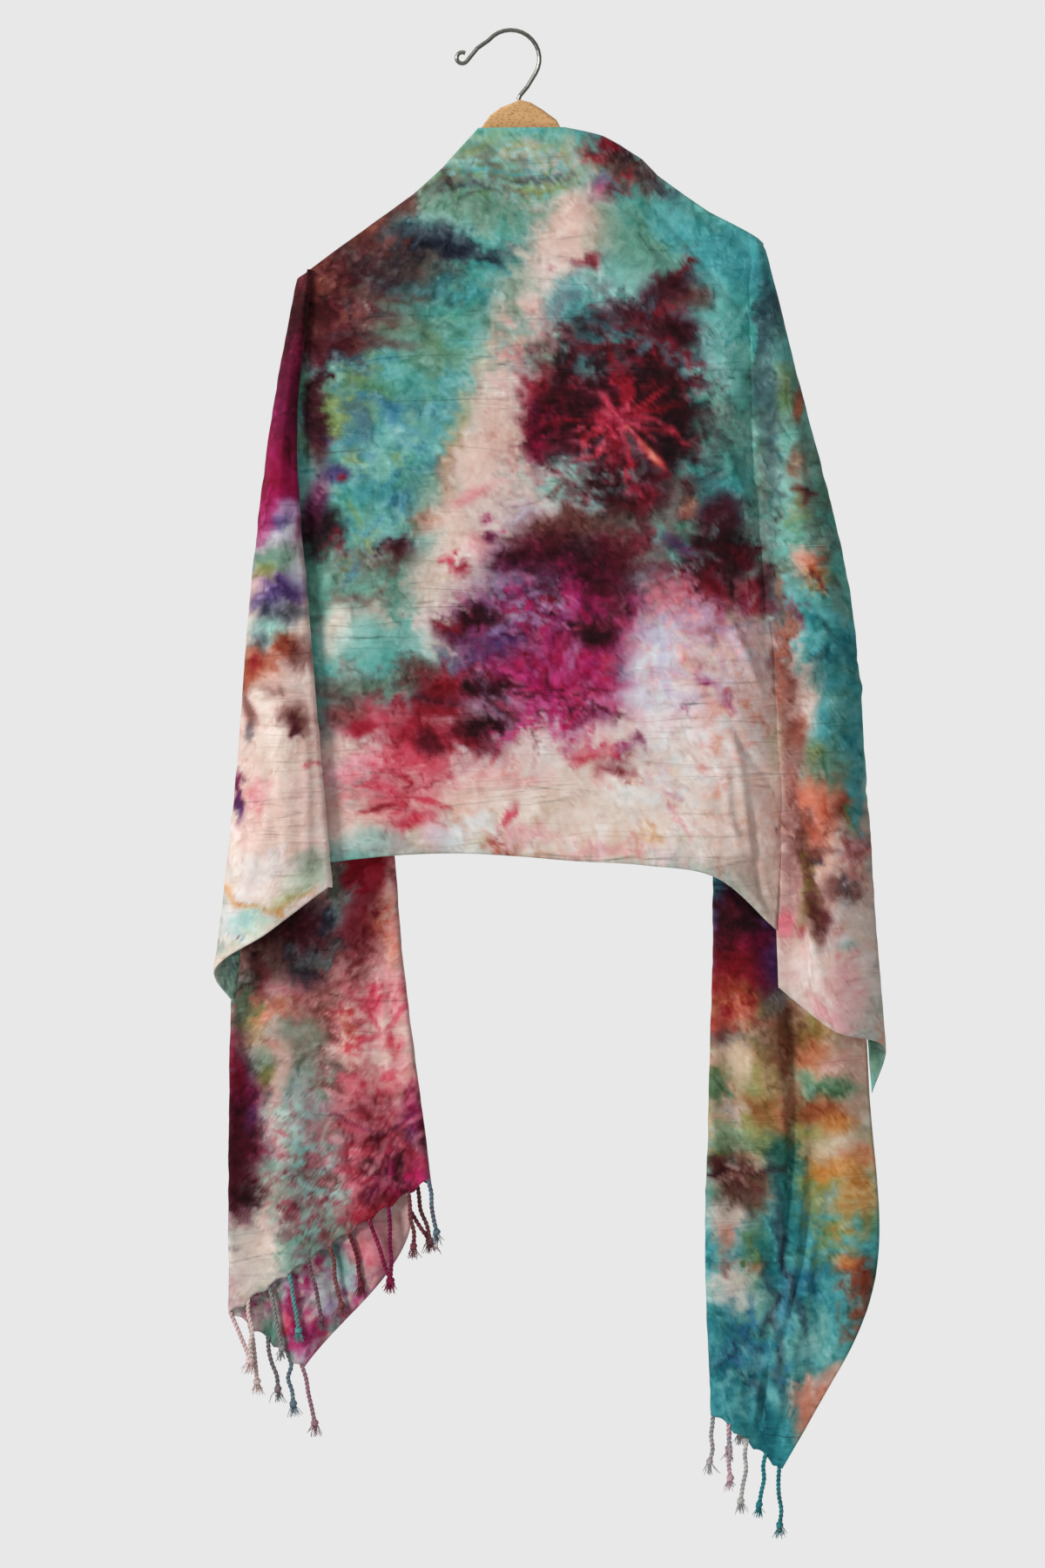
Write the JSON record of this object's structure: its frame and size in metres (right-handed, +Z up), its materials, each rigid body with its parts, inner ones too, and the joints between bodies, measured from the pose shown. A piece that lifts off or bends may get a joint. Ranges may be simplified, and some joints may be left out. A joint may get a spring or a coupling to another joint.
{
  "type": "fringed scarf on a hanger",
  "caption": "Tie-dyed woven scarf with knotted fringe ends, draped like a shawl over a plain wooden hanger that holds it by a bent wire hook.",
  "frame": {"origin": "inside top of the hook's bow, where it rests on a rail", "axes": "+Z up, +X to the right seen from the back of the drape, -Y out of the back of the drape (the side most seen)"},
  "size_m": [0.5622, 0.0824, 1.2484],
  "materials": {
    "cloth": "thin plain-weave rayon, ice-dyed, soft slight sheen",
    "fringe": "twisted and knotted rayon cords",
    "wood": "light wood, clear satin varnish",
    "steel": "bent wire, dark plated, smooth"
  },
  "bodies": {
    "root": {"back_panel": "cloth", "left_wing": "cloth", "right_wing": "cloth", "left_front": "cloth", "right_front": "cloth", "left_fall": "cloth", "right_fall": "cloth", "left_fringe": "fringe", "right_fringe": "fringe", "hanger_wood": "wood", "hanger_hook": "steel"}
  },
  "joints": []
}
